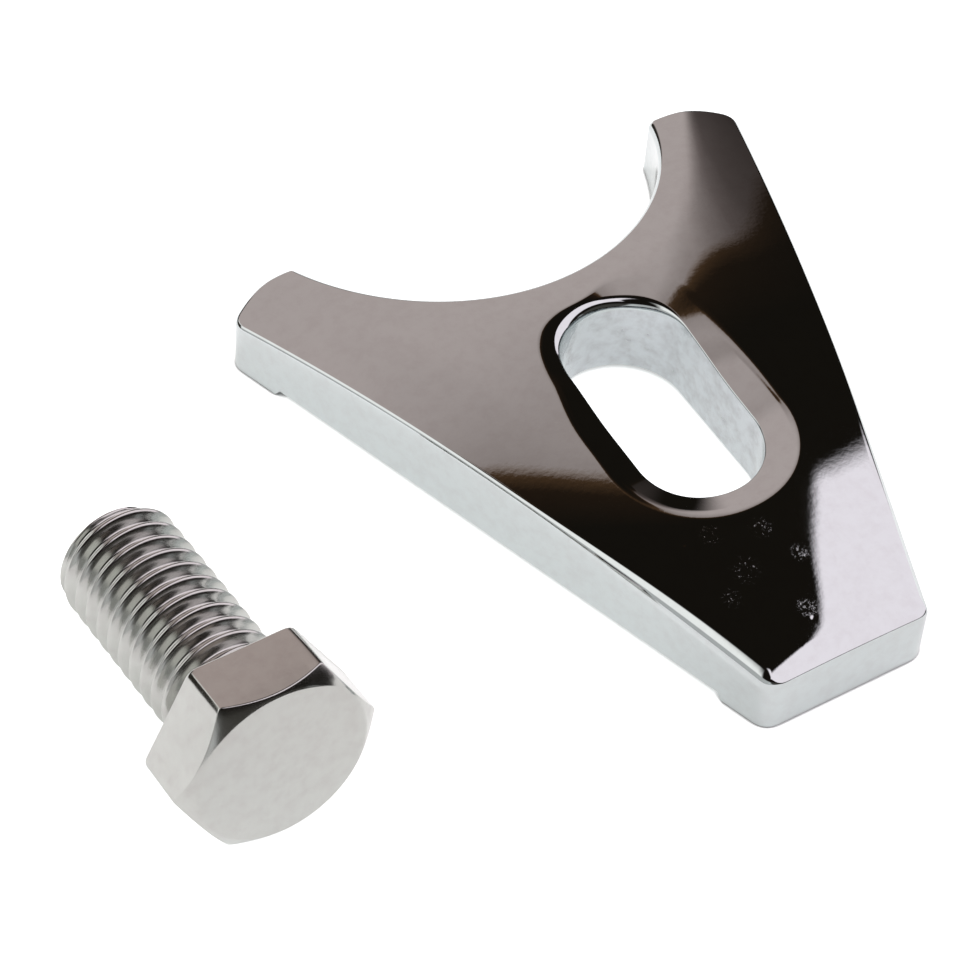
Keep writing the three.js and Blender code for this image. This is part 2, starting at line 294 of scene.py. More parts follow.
def clamp_outline():
    """Counter-clockwise from the heel's left corner."""
    tip_x = FORK_RADIUS * math.sin(FORK_HALF_ANGLE)
    tip_y = FORK_CENTRE_Y - FORK_RADIUS * math.cos(FORK_HALF_ANGLE)
    right_tip, left_tip = (sign * FORK_HALF_ANGLE - math.pi / 2 for sign in (1, -1))
    heel_left, heel_right = flat(-HEEL_HALF_WIDTH, HEEL_Y), flat(HEEL_HALF_WIDTH, HEEL_Y)
    toe_left, toe_right = flat(-TOE_HALF_WIDTH, TOE_Y), flat(TOE_HALF_WIDTH, TOE_Y)
    segments = [
        line_points(heel_left, heel_right, OUTLINE_STEP),
        line_points(heel_right, toe_right, OUTLINE_STEP),
        bulged_points(toe_right, flat(tip_x, tip_y), TOE_END_BULGE, OUTLINE_STEP),
        arc_points(flat(0, FORK_CENTRE_Y), FORK_RADIUS, right_tip, left_tip, OUTLINE_STEP),
        bulged_points(flat(-tip_x, tip_y), toe_left, TOE_END_BULGE, OUTLINE_STEP),
        line_points(toe_left, heel_left, OUTLINE_STEP),
    ]
    trims = [HEEL_CORNER_TRIM, HEEL_CORNER_TRIM, TOE_CORNER_TRIM, TOE_TIP_TRIM, TOE_TIP_TRIM, TOE_CORNER_TRIM]
    return rounded_loop(segments, trims)


def slot_outline():
    """Clockwise, so that the loop's outward side is the slot's open space."""
    heel, fork, side = flat(0, SLOT_HEEL_CENTRE_Y), flat(0, SLOT_FORK_CENTRE_Y), flat(SLOT_RADIUS, 0)
    loop = arc_points(fork, SLOT_RADIUS, math.pi, 0, SLOT_STEP)
    loop += line_points(fork + side, heel + side, SLOT_STEP)[1:-1]
    loop += arc_points(heel, SLOT_RADIUS, 0, -math.pi, SLOT_STEP)
    loop += line_points(heel - side, fork - side, SLOT_STEP)[1:-1]
    return loop


def loop_normals(loop):
    """Unit normals to the right of a loop's direction, averaged over the two segments at each point."""
    out = []
    for i, p in enumerate(loop):
        before, after = (p - loop[i - 1]).normalized(), (loop[(i + 1) % len(loop)] - p).normalized()
        along = (before + after).normalized()
        out.append(Vector((along.y, -along.x)))
    return out


# ---------------------------------------------------------------- clamp mesh
def spread(values, passes):
    """Averages each value with its neighbours round a closed loop, several times."""
    for _ in range(passes):
        values = [(values[i - 1] + v * 2 + values[(i + 1) % len(values)]) / 4 for i, v in enumerate(values)]
    return values


def outer_edges(loop, normals):
    """Rounded top edge: small at the toes and across the heel, wider along the sides towards the heel."""
    radii = []
    for p, n in zip(loop, normals):
        towards_heel = smooth((HEEL_SIDE_END_Y - p.y) / HEEL_SIDE_RUN)
        side = TOP_EDGE_ROUND + (HEEL_SIDE_ROUND - TOP_EDGE_ROUND) * towards_heel
        in_fork = (p - flat(0, FORK_CENTRE_Y)).length < FORK_RADIUS + 0.3
        faces_heel = n.y < -0.8
        radii.append(HEEL_FRONT_ROUND if faces_heel else FORK_EDGE_ROUND if in_fork else side)
    return [(0.0, 0.0, 0.0, radius) for radius in spread(radii, passes=12)]


def slot_edges(loop, normals):
    """Rim dished by polishing. Towards the fork end, the dish is shallow on the left, level on the right
    and only rounded over at the end.

    Each entry gives the width in which the top turns to the dish, the dish's width and slope, and the
    radius that ends it above the wall."""
    dished = (RIM_TURN, RIM_SLOPE, RIM_TILT)
    rounded = (RIM_FORK_TURN, RIM_FORK_SLOPE, RIM_FORK_TILT)
    shallow = (RIM_LEFT_TURN, RIM_LEFT_SLOPE, RIM_LEFT_TILT)
    level = (RIM_RIGHT_TURN, RIM_RIGHT_SLOPE, RIM_RIGHT_TILT)
    edges = []
    for p, n in zip(loop, normals):
        left, right = smooth(n.x * 1.2), smooth(-n.x * 1.2)
        start = RIM_FADE_START_Y + (RIM_RIGHT_FADE_START_Y - RIM_FADE_START_Y) * right
        end = RIM_FADE_END_Y + (RIM_RIGHT_FADE_END_Y - RIM_FADE_END_Y) * right
        fade = smooth((p.y - start) / (end - start))
        width_share, tilt_share = smooth(-n.x * 2), smooth(-n.x * 4)
        shares = (width_share, width_share, tilt_share)
        target = [r + (s - r) * left + (e - r) * share
                  for r, s, e, share in zip(rounded, shallow, level, shares)]
        ends = smooth(-n.y * 1.3)
        edges.append([d + (t - d) * fade for d, t in zip(dished, target)]
                     + [RIM_BREAK + (RIM_FORK_BREAK - RIM_BREAK) * ends])
    columns = [spread([e[k] for e in edges], passes=10) for k in range(4)]
    return list(zip(*columns))


def edge_bands(lean, edge):
    """(run, first angle, last angle) of each band from the top to the wall."""
    turn, slope, tilt, radius = edge
    if turn == 0:
        return [(radius * (1 - math.sin(lean)), lean, math.pi / 2)]
    return [(turn, lean, tilt), (slope, tilt, tilt + DISH_CURVE),
            (radius * (1 - math.sin(tilt)), tilt, math.pi / 2)]


def slope_along(at, direction):
    """Slope of the crown at a point, along a unit direction."""
    a, b = at - direction * SLOPE_REACH, at + direction * SLOPE_REACH
    return (crown(b.x, b.y) - crown(a.x, a.y)) / (2 * SLOPE_REACH)


def band_points(run, start, end, count):
    """(across, drop, angle) at each step of a band, an arc that turns from one angle to another."""
    size = run / (math.sin(end) - math.sin(start)) if abs(end - start) > 1e-3 else 0.0
    for j in range(1, count + 1):
        angle = start + (end - start) * j / count
        if size:
            across = size * (math.sin(angle) - math.sin(start))
            drop = size * (math.cos(start) - math.cos(angle))
        else:
            across = run * j / count
            drop = across * math.tan(start)
        yield across, drop, angle


def edge_normal(n, slant, angle):
    """Normal at an angle from straight up towards n, with the top's own slant along the edge."""
    level = n * math.sin(angle) + slant * math.cos(angle)
    return Vector((level.x, level.y, math.cos(angle))).normalized()


def edge_strip(loop, edges_of, foot_round_of):
    """Rows of (point, normal) from the polished top, over its edge, down the wall and round the foot."""
    normals = loop_normals(loop)
    columns = []
    for p, n, edge in zip(loop, normals, edges_of(loop, normals)):
        lean = 0.0
        for _ in range(4):
            bands = edge_bands(lean, edge)
            inset = sum(band[0] for band in bands)
            brink = p - n * inset
            lean = -math.atan(slope_along(brink, n))
        along = flat(-n.y, n.x)
        slant = -along * slope_along(brink, along)
        out, z = -inset, top_height(brink.x, brink.y)
        column = [(Vector((brink.x, brink.y, z)), edge_normal(n, slant, lean))]
        steps = BAND_STEPS if len(bands) > 1 else [ROUND_ROWS * 2]
        for (run, start, end), count in zip(bands, steps):
            for across, drop, angle in band_points(run, start, end, count):
                at = p + n * (out + across)
                column.append((Vector((at.x, at.y, z - drop)), edge_normal(n, slant, angle)))
            out += across
            z -= drop
        wall_top = z
        foot_round = foot_round_of(p.y)
        low = foot_height(p.x, p.y) + foot_round
        for j in range(1, WALL_ROWS):
            z = wall_top + (low - wall_top) * j / WALL_ROWS
            column.append((Vector((p.x, p.y, z)), Vector((n.x, n.y, 0))))
        inner = p - n * foot_round
        for j in range(ROUND_ROWS + 1):
            a = math.pi / 2 * (1 + j / ROUND_ROWS)
            at = inner + n * foot_round * math.sin(a)
            column.append((Vector((at.x, at.y, low + foot_round * math.cos(a))),
                           Vector((n.x * math.sin(a), n.y * math.sin(a), math.cos(a)))))
        columns.append(column)
    return [list(row) for row in zip(*columns)]


def inside(point, polygon):
    """Whether a point lies inside a closed loop, by counting the sides that it is left of."""
    hit = False
    x, y = point
    for i, b in enumerate(polygon):
        a = polygon[i - 1]
        if (a.y > y) != (b.y > y) and x < a.x + (y - a.y) / (b.y - a.y) * (b.x - a.x):
            hit = not hit
    return hit


def sheet_triangles(outer, inner, extra, clearance):
    """Triangles that fill the ring between two loops, through the extra points that clear both loops."""
    tree = KDTree(len(outer) + len(inner))
    for i, p in enumerate(outer + inner):
        tree.insert((p.x, p.y, 0), i)
    tree.balance()
    points = list(outer) + list(inner)
    for p in extra:
        if tree.find((p.x, p.y, 0))[2] > clearance and inside(p, outer) and not inside(p, inner):
            points.append(p)
    a, b = len(outer), len(inner)
    edges = [(i, (i + 1) % a) for i in range(a)] + [(a + i, a + (i + 1) % b) for i in range(b)]
    made, _, faces, sources, _, _ = delaunay_2d_cdt(points, edges, [], 0, 1e-6)
    home = [s[0] for s in sources]
    kept = []
    for f in faces:
        middle = sum((made[k] for k in f), Vector((0, 0))) / len(f)
        if inside(middle, outer) and not inside(middle, inner):
            kept.append([home[k] for k in f])
    return points, kept


def top_lattice():
    """Staggered rows of points over the clamp, and rings of closer points at each dent."""
    points = []
    rows = int((FORK_CENTRE_Y - HEEL_Y) / ROW_SPACING)
    for j in range(rows):
        y = HEEL_Y + j * ROW_SPACING
        span = int(TOE_HALF_WIDTH / LATTICE_STEP) + 1
        for i in range(-span, span + 1):
            p = flat((i + 0.5 * (j % 2)) * LATTICE_STEP, y)
            if all((p.x - d[0]) ** 2 + (p.y - d[1]) ** 2 > (2.3 * d[2]) ** 2 for d in DENTS):
                points.append(p)
    for x, y, radius, _ in DENTS:
        points.append(flat(x, y))
        for ring, count in ((0.4, 8), (0.8, 12), (1.25, 14), (1.8, 14)):
            for k in range(count):
                a = 2 * math.pi * (k + 0.5 * ring) / count
                points.append(flat(x + radius * ring * math.cos(a), y + radius * ring * math.sin(a)))
    return points


def foot_lattice():
    """Rows across the underside, with close rows where the pads step up to the relief."""
    rows = int((clamp_high.y - HEEL_Y) / FOOT_ROW_STEP)
    span = int(TOE_HALF_WIDTH / FOOT_COLUMN_STEP)
    ys = [HEEL_Y + FOOT_ROW_STEP * k for k in range(1, rows + 1)]
    for step_y in (RELIEF_START_Y, RELIEF_END_Y):
        ys = [y for y in ys if abs(y - step_y) > 0.8]
        ys += [step_y + RELIEF_RAMP * t for t in (-0.6, -0.4, -0.2, 0, 0.2, 0.4, 0.6)]
    return [flat(FOOT_COLUMN_STEP * i, y) for y in ys for i in range(-span, span + 1)]


def finished_mesh(name, points, normals, faces, materials, face_material):
    """A mesh in metres with exact corner normals."""
    mesh = bpy.data.meshes.new(name)
    mesh.from_pydata([p * MM for p in points], [], faces)
    mesh.validate()
    for m in materials:
        mesh.materials.append(m)
    mesh.polygons.foreach_set("material_index", face_material)
    mesh.polygons.foreach_set("use_smooth", [True] * len(faces))
    mesh.normals_split_custom_set_from_vertices(normals)
    mesh.update()
    return mesh


def foot_round_at(y):
    """Rounding of the outer edge underneath: small on the pads, wider in the relief."""
    return PAD_EDGE_ROUND + (FOOT_EDGE_ROUND - PAD_EDGE_ROUND) * foot_height(0, y) / RELIEF_HEIGHT


def foot_normal(x, y):
    reach = 0.02
    rise = (foot_height(x, y + reach) - foot_height(x, y - reach)) / (2 * reach)
    return Vector((0, rise, -1)).normalized()


def build_clamp(polished, cast):
    """Edge strips round the outline and the slot, and a sheet over the top and the underside."""
    points, normals, faces, kinds = [], [], [], []

    def add(point, normal):
        points.append(point)
        normals.append(normal)
        return len(points) - 1

    def strip(loop, edges_of, foot_round_of, wall_kind):
        rows = [[add(*cell) for cell in row] for row in edge_strip(loop, edges_of, foot_round_of)]
        first_wall = len(rows) - 1 - ROUND_ROWS - WALL_ROWS
        last_wall = first_wall + WALL_ROWS
        for j in range(len(rows) - 1):
            upper, lower = rows[j], rows[j + 1]
            for i in range(len(upper)):
                k = (i + 1) % len(upper)
                faces.append([upper[i], lower[i], lower[k], upper[k]])
                kinds.append(wall_kind if first_wall <= j < last_wall + 2 else 0)
        return rows[0], rows[-1]

    def sheet(outer_ids, slot_ids, extra, clearance, height, normal_at, flip):
        outer, slot = ([points[i].xy for i in ids] for ids in (outer_ids, slot_ids))
        spots, triangles = sheet_triangles(outer, slot, extra, clearance)
        ids = list(outer_ids) + list(slot_ids)
        for k in list(outer_ids) + list(slot_ids):
            normals[k] = normal_at(points[k].x, points[k].y)
        for p in spots[len(ids):]:
            ids.append(add(Vector((p.x, p.y, height(p.x, p.y))), normal_at(p.x, p.y)))
        for t in triangles:
            t = [ids[k] for k in t]
            a, b, c = (points[k] for k in t)
            up = (b - a).cross(c - a).z > 0
            faces.append(t[::-1] if up == flip else t)
            kinds.append(0)

    outer_top, outer_foot = strip(clamp_outline(), outer_edges, foot_round_at, 0)
    slot_top, slot_foot = strip(slot_outline(), slot_edges, lambda y: SLOT_FOOT_ROUND, 1)
    sheet(outer_top, slot_top, top_lattice(), LATTICE_STEP * 0.6, top_height, top_normal, False)
    sheet(outer_foot, slot_foot, foot_lattice(), FOOT_CLEARANCE, foot_height, foot_normal, True)
    mesh = finished_mesh("clamp_casting", points, normals, faces, [polished, cast], kinds)
    return bpy.data.objects.new("clamp_casting", mesh)


# ---------------------------------------------------------------- screw mesh
def thread_radius(turn):
    """Radius over one pitch: a rolled thread's rounded crest, 60 degree flanks and rounded root."""
    t = turn - math.floor(turn)
    d = abs(t - 0.5) * 2
    fall = min(1.0, max(0.0, (d - CREST_SHARE) / (ROOT_SHARE - CREST_SHARE)))
    return SCREW_MAJOR_RADIUS - THREAD_DEPTH * (0.45 * fall + 0.55 * smooth(fall))


def shank_radius(z, angle):
    """Thread, faded out into the neck at the head and cut by the chamfer at the tip."""
    r = thread_radius(z / SCREW_PITCH - angle / (2 * math.pi))
    fade = smooth((z + NECK_LENGTH + NECK_FADE) / NECK_FADE)
    r = r + (NECK_RADIUS - r) * fade
    along = (z + SHANK_LENGTH) / TIP_CHAMFER_LENGTH
    return min(r, TIP_RADIUS + (SCREW_MAJOR_RADIUS - TIP_RADIUS) * along) if along < 1 else r


def hex_radius(angle, corner_round):
    """Radius of the hexagon with rounded corners; a flat faces angle 90 degrees."""
    half_sector = math.pi / 6
    from_flat = angle % (2 * half_sector) - half_sector
    from_corner = half_sector - abs(from_flat)
    corner_centre = (HEX_HALF_FLATS - corner_round) / math.cos(half_sector)
    limit = math.atan2(corner_round * 0.5, corner_centre + corner_round * math.cos(half_sector))
    if from_corner < limit:
        aside = corner_centre * math.sin(from_corner)
        return corner_centre * math.cos(from_corner) + math.sqrt(corner_round ** 2 - aside ** 2)
    return HEX_HALF_FLATS / math.cos(from_flat)


def rounded_profile(corners):
    """Corners as (r, z, round, steps); returns the profile with each corner replaced by an arc-like curve."""
    out = []
    for i, (r, z, size, steps) in enumerate(corners):
        here = flat(r, z)
        if i in (0, len(corners) - 1) or steps == 0:
            out.append(here)
            continue
        before = Vector(corners[i - 1][:2])
        after = Vector(corners[i + 1][:2])
        size = min(size, (before - here).length * 0.45, (after - here).length * 0.45)
        a = here + (before - here).normalized() * size
        b = here + (after - here).normalized() * size
        for k in range(steps + 1):
            t = k / steps
            out.append(a * (1 - t) ** 2 + here * 2 * t * (1 - t) + b * t * t)
    return out


def head_profile(angle):
    """Head outline at one angle: from the middle of the face over the chamfer, down the flat, to the neck."""
    edge, foot_edge = hex_radius(angle, HEX_CORNER_ROUND), hex_radius(angle, HEX_FOOT_CORNER_ROUND)
    corner = (HEX_HALF_FLATS - HEX_CORNER_ROUND) / math.cos(math.pi / 6) + HEX_CORNER_ROUND
    fall = HEAD_CHAMFER_HEIGHT / (corner - HEAD_FACE_RADIUS)
    shoulder = HEAD_HEIGHT - (edge - HEAD_FACE_RADIUS) * fall
    profile = [flat(r, HEAD_HEIGHT) for r in HEAD_FACE_RINGS]
    profile += rounded_profile([
        (HEAD_FACE_RINGS[-1], HEAD_HEIGHT, 0, 0),
        (HEAD_FACE_RADIUS, HEAD_HEIGHT, HEAD_FACE_ROUND, 3),
        (edge, shoulder, HEAD_SHOULDER_ROUND, 3),
        ((edge + foot_edge) / 2, shoulder / 2, 0, 0),
        (foot_edge, 0.0, HEAD_FOOT_ROUND, 3),
        (HEAD_FOOT_RADIUS, 0.0, 0, 0),
    ])[1:]
    fillet = [(0.35, 0.0), (0.1, -0.1), (0.0, NECK_TOP)]
    return profile + [flat(NECK_RADIUS + out, z) for out, z in fillet]


def add_head(build):
    """Head as a fan of profiles round the axis."""
    columns = 6 * HEAD_COLUMNS_PER_FLAT
    fans = []
    for k in range(columns):
        a = 2 * math.pi * k / columns
        fans.append([build.verts.new((p.x * math.cos(a), p.x * math.sin(a), p.y)) for p in head_profile(a)])
    middle = build.verts.new((0, 0, HEAD_HEIGHT))
    for k, fan in enumerate(fans):
        following = fans[(k + 1) % columns]
        build.faces.new((middle, fan[0], following[0]))
        for j in range(len(fan) - 1):
            build.faces.new((fan[j], fan[j + 1], following[j + 1], following[j]))


def add_shank(build):
    """Shank as rows that follow the helix. Returns the ring of points at the tip's edge."""
    step = SCREW_PITCH / ROWS_PER_TURN
    count = int((SHANK_LENGTH + SCREW_PITCH) / step) + ROWS_PER_TURN + 2
    grid = []
    for k in range(THREAD_COLUMNS):
        angle = 2 * math.pi * k / THREAD_COLUMNS
        shift = SCREW_PITCH * k / THREAD_COLUMNS
        column = []
        for j in range(count):
            z = min(NECK_TOP, max(-SHANK_LENGTH, -SHANK_LENGTH - SCREW_PITCH + shift + j * step))
            r = shank_radius(z, angle)
            column.append(build.verts.new((r * math.cos(angle), r * math.sin(angle), z)))
        grid.append(column)
    for k, left in enumerate(grid):
        wrap = k + 1 == THREAD_COLUMNS
        right = grid[0][ROWS_PER_TURN:] if wrap else grid[k + 1]
        for j in range(min(len(left), len(right)) - 1):
            quad = (left[j], right[j], right[j + 1], left[j + 1])
            heights = [v.co.z for v in quad]
            if max(heights) - min(heights) > 1e-6:
                build.faces.new(quad)
    return [column[0] for column in grid]


def add_tip(build, ring):
    """Flat end of the shank, as smaller copies of its edge and a fan in the middle."""
    rings = [ring]
    for share in TIP_RING_SHARES:
        rings.append([build.verts.new((v.co.x * share, v.co.y * share, -SHANK_LENGTH)) for v in ring])
    middle = build.verts.new((0, 0, -SHANK_LENGTH))
    for k in range(THREAD_COLUMNS):
        m = (k + 1) % THREAD_COLUMNS
        for outer, inner in zip(rings, rings[1:]):
            build.faces.new((outer[k], inner[k], inner[m], outer[m]))
        build.faces.new((rings[-1][k], middle, rings[-1][m]))


def build_screw(plated):
    build = bmesh.new()
    add_head(build)
    add_tip(build, add_shank(build))
    bmesh.ops.remove_doubles(build, verts=build.verts, dist=1e-4)
    bmesh.ops.dissolve_degenerate(build, edges=build.edges, dist=1e-5)
    bmesh.ops.recalc_face_normals(build, faces=build.faces)
    for f in build.faces:
        f.smooth = True
    place = Matrix.Translation((SCREW_X, SCREW_BEARING_Y, SCREW_BEARING_Z))
    lay_down = Matrix.Rotation(math.pi / 2 - SCREW_TILT, 4, "X")
    build.transform(Matrix.Scale(MM, 4) @ place @ lay_down)
    mesh = bpy.data.meshes.new("screw_turned")
    build.to_mesh(mesh)
    build.free()
    mesh.materials.append(plated)
    screw = bpy.data.objects.new("screw_turned", mesh)
    weight = screw.modifiers.new("even_facets", "WEIGHTED_NORMAL")
    weight.weight = 90
    return screw


# ---------------------------------------------------------------- node helpers
class Graph:
    """Short calls for building a node tree."""

    def __init__(self, tree):
        self.tree = tree
        tree.nodes.clear()

    def node(self, kind, **settings):
        made = self.tree.nodes.new(kind)
        for key, value in settings.items():
            setattr(made, key, value)
        return made

    def put(self, socket, value):
        if isinstance(value, bpy.types.NodeSocket):
            self.tree.links.new(value, socket)
        else:
            socket.default_value = value

    def math(self, operation, *values):
        made = self.node("ShaderNodeMath", operation=operation)
        for i, value in enumerate(values):
            self.put(made.inputs[i], value)
        return made.outputs[0]

    def split(self, vector):
        made = self.node("ShaderNodeSeparateXYZ")
        self.put(made.inputs[0], vector)
        return made.outputs

    def length(self, x, y):
        return self.math("SQRT", self.math("ADD", self.math("MULTIPLY", x, x), self.math("MULTIPLY", y, y)))

    def ramp(self, value, low, high, to_low=0.0, to_high=1.0):
        """Smooth S from one value at `low` to another at `high`, which may be the smaller of the two."""
        made = self.node("ShaderNodeMapRange", interpolation_type="SMOOTHSTEP")
        for name, item in (("Value", value), ("From Min", low), ("From Max", high),
                           ("To Min", to_low), ("To Max", to_high)):
            self.put(made.inputs[name], item)
        return made.outputs["Result"]

    def mix(self, factor, a, b, blend="MIX"):
        made = self.node("ShaderNodeMix", data_type="RGBA", blend_type=blend)
        self.put(made.inputs[0], factor)
        self.put(made.inputs[6], a)
        self.put(made.inputs[7], b)
        return made.outputs[2]

    def colours(self, value, stops):
        made = self.node("ShaderNodeValToRGB")
        made.color_ramp.interpolation = "LINEAR"
        while len(made.color_ramp.elements) < len(stops):
            made.color_ramp.elements.new(0.5)
        for element, (position, colour) in zip(made.color_ramp.elements, stops):
            element.position = position
            element.color = (*colour, 1)
        self.put(made.inputs[0], value)
        return made.outputs[0]

    def noise(self, vector, scale, detail=2.0, roughness=0.5):
        made = self.node("ShaderNodeTexNoise")
        self.put(made.inputs["Vector"], vector)
        made.inputs["Scale"].default_value = scale
        made.inputs["Detail"].default_value = detail
        made.inputs["Roughness"].default_value = roughness
        return made.outputs["Fac"]

    def bump(self, height, distance, normal=None):
        made = self.node("ShaderNodeBump")
        made.inputs["Strength"].default_value = 1.0
        made.inputs["Distance"].default_value = distance
        self.put(made.inputs["Height"], height)
        if normal is not None:
            self.put(made.inputs["Normal"], normal)
        return made.outputs["Normal"]


def metal(name, base, dark, roughness, bumps, finish=None):
    """A bright metal: colour, roughness and bump all vary over the surface in its own coordinates, in metres.

    `roughness` is the smoothest, the roughest and what the grain adds. Each bump is (scale, height,
    detail). `finish` may change the roughness and the normal."""
    material = bpy.data.materials.new(name)
    material.use_nodes = True
    g = Graph(material.node_tree)
    place = g.node("ShaderNodeTexCoord").outputs["Object"]
    tone = g.noise(place, 900, 4, 0.6)
    cloud = g.noise(place, 160, 3, 0.55)
    shader = g.node("ShaderNodeBsdfPrincipled")
    shader.inputs["Metallic"].default_value = 1.0
    g.put(shader.inputs["Base Color"], g.mix(g.ramp(tone, 0.35, 0.75), (*base, 1), (*dark, 1)))
    smoothest, roughest, grain = roughness
    rough = g.math("ADD", g.ramp(cloud, 0.35, 0.7, smoothest, roughest), g.ramp(tone, 0.55, 0.8, 0.0, grain))
    normal = None
    for scale, height, detail in bumps:
        normal = g.bump(g.noise(place, scale, detail, 0.5), height, normal)
    if finish:
        rough, normal = finish(g, place, rough, normal)
    g.put(shader.inputs["Roughness"], rough)
    g.put(shader.inputs["Normal"], normal)
    out = g.node("ShaderNodeOutputMaterial")
    g.put(out.inputs["Surface"], shader.outputs[0])
    return material


# Finishes, with lengths in metres.
SCUFF_ROUGHNESS, SCUFF_DEPTH = 0.34, 0.000002
TURNING_PITCH, TURNING_WANDER, TURNING_DEPTH = 0.0011, 0.0004, 0.000004


def scuffed(g, place, rough, normal):
    """Clusters of tiny matt scuffs near the heel, where spanners and screws knock it."""
    level = g.node("ShaderNodeVectorMath", operation="MULTIPLY")
    g.put(level.inputs[0], place)
    level.inputs[1].default_value = (1, 1, 0)
    cluster = 0.0
    for x, y, reach in SCUFFS:
        away = g.node("ShaderNodeVectorMath", operation="DISTANCE")
        g.put(away.inputs[0], level.outputs[0])
        away.inputs[1].default_value = Vector((x, HEEL_Y + y, 0)) * MM
        cluster = g.math("MAXIMUM", cluster, g.ramp(away.outputs["Value"], reach * MM, reach * 0.3 * MM))
    fleck = g.ramp(g.noise(place, 4200, 4, 0.7), 0.52, 0.72)
    scuff = g.math("MULTIPLY", cluster, fleck)
    rough = g.math("ADD", rough, g.math("MULTIPLY", scuff, SCUFF_ROUGHNESS))
    return rough, g.bump(scuff, -SCUFF_DEPTH, normal)


def turned_face(g, place, rough, normal):
    """Faint turning rings round the screw's axis."""
    own = g.node("ShaderNodeMapping", vector_type="TEXTURE")
    g.put(own.inputs["Vector"], place)
    own.inputs["Location"].default_value = Vector((SCREW_X, SCREW_BEARING_Y, SCREW_BEARING_Z)) * MM
    own.inputs["Rotation"].default_value = (math.pi / 2 - SCREW_TILT, 0, 0)
    x, y, z = g.split(own.outputs[0])
    wander = g.math("MULTIPLY", g.noise(place, 300, 2), TURNING_WANDER)
    out = g.math("ADD", g.length(x, y), wander)
    ring = g.math("SINE", g.math("MULTIPLY", out, 2 * math.pi / TURNING_PITCH))
    on_face = g.ramp(z, (HEAD_HEIGHT - 0.4) * MM, (HEAD_HEIGHT - 0.1) * MM)
    return rough, g.bump(g.math("MULTIPLY", ring, on_face), TURNING_DEPTH, normal)


# ---------------------------------------------------------------- studio
# The studio is painted by direction: u and v are degrees from straight up, towards +X and +Y.
ROSY = (0.60, 0.50, 0.485, 1)
LAVENDER = (1.25, 1.13, 1.21, 1)
WARM_WHITE = (1.3, 1.27, 1.25, 1)
GREY = (0.6, 0.6, 0.6, 1)
PALE_BLUE = (0.75, 0.76, 0.78, 1)
BLACK = (0.010, 0.008, 0.006, 1)
DIM = (0.034, 0.03, 0.025, 1)
DARK = (0.07, 0.066, 0.06, 1)
BACKDROP_STRENGTH = 1.1

# Brightness of the rosy panel from its near edge in, over PANEL_DEPTH degrees from PANEL_LEAD before it.
PANEL_LEAD, PANEL_DEPTH = 6, 20
PANEL_NEAR_EDGE = [(0.0, (0, 0, 0)), (0.18, (0.02, 0.01, 0.004)), (0.25, (0.11, 0.065, 0.03)),
                   (0.28, (0.43, 0.39, 0.355)), (0.31, (0.62, 0.61, 0.605)), (0.6, (0.86, 0.86, 0.86)),
                   (0.8, (0.96, 0.96, 0.96)), (1.0, (1, 1, 1))]

# Brightness of the rosy panel towards its right side, over PANEL_FADE degrees from PANEL_RIGHT.
PANEL_RIGHT, PANEL_FADE = 30, 40
PANEL_RIGHT_EDGE = [(0.0, (1, 1, 1)), (0.05, (1, 1, 1)), (0.15, (0.92, 0.91, 0.91)),
                    (0.25, (0.585, 0.57, 0.57)), (0.35, (0.31, 0.29, 0.29)), (0.45, (0.19, 0.175, 0.175)),
                    (0.7, (0.12, 0.11, 0.11)), (0.9, (0.02, 0.02, 0.02))]


def rosy_panel(g, u, v):
    """Panel over the toes: its near edge runs across, and it fades out to the right."""
    edge = g.math("ADD", g.ramp(u, 12, 36, 25, 36.6), g.ramp(u, 42, 58, 0, 7))
    edge = g.math("ADD", edge, g.ramp(u, 14, 6, 0, 1.3))
    edge = g.math("SUBTRACT", edge, g.ramp(u, 3, -6, 0, 6.3))
    depth = g.math("ADD", g.math("SUBTRACT", v, edge), PANEL_LEAD)
    near = g.colours(g.math("DIVIDE", depth, PANEL_DEPTH), PANEL_NEAR_EDGE)
    fall = g.colours(g.math("DIVIDE", g.math("SUBTRACT", u, PANEL_RIGHT), PANEL_FADE), PANEL_RIGHT_EDGE)
    fall = g.mix(g.ramp(v, 45, 58), fall, g.ramp(u, 50, 38))
    return g.mix(1.0, g.mix(1.0, near, fall, "MULTIPLY"), ROSY, "MULTIPLY")


def right_softbox(g, u, v):
    """Share of the softbox to the right, which reaches back past the zenith."""
    inner = g.ramp(g.math("SUBTRACT", u, g.math("MULTIPLY", v, 1.05)), 16.5, 19)
    box = g.math("MULTIPLY", inner, g.ramp(v, 21.8, 19.7))
    box = g.math("MAXIMUM", box, g.math("MULTIPLY", g.ramp(v, -2, -7), g.ramp(u, -14, -4)))
    return g.math("MULTIPLY", box, g.ramp(v, -38, -31))


def left_screen(g, u, v, away, whole):
    """White screen to the left, dim where it is high, and the dark room beyond it."""
    high = g.ramp(v, 38, 44)
    left = g.ramp(g.math("SUBTRACT", u, g.math("MULTIPLY", high, 4)), -22, -31)
    widened = g.math("MULTIPLY", g.math("MINIMUM", g.math("ADD", u, 25), 0), 0.4)
    screen = g.math("MULTIPLY", left, g.ramp(g.math("SUBTRACT", v, widened), -8, 4))
    beyond = g.math("MULTIPLY", high, g.ramp(u, -28, -33))
    whole = g.mix(screen, whole, g.mix(beyond, WARM_WHITE, DIM))
    room = g.math("MULTIPLY", g.ramp(away, 63, 69), g.ramp(u, 4, -6))
    pale = g.math("MULTIPLY", g.ramp(u, -28, -42), g.math("SUBTRACT", 1, high))
    return g.mix(room, whole, g.mix(pale, DIM, GREY))


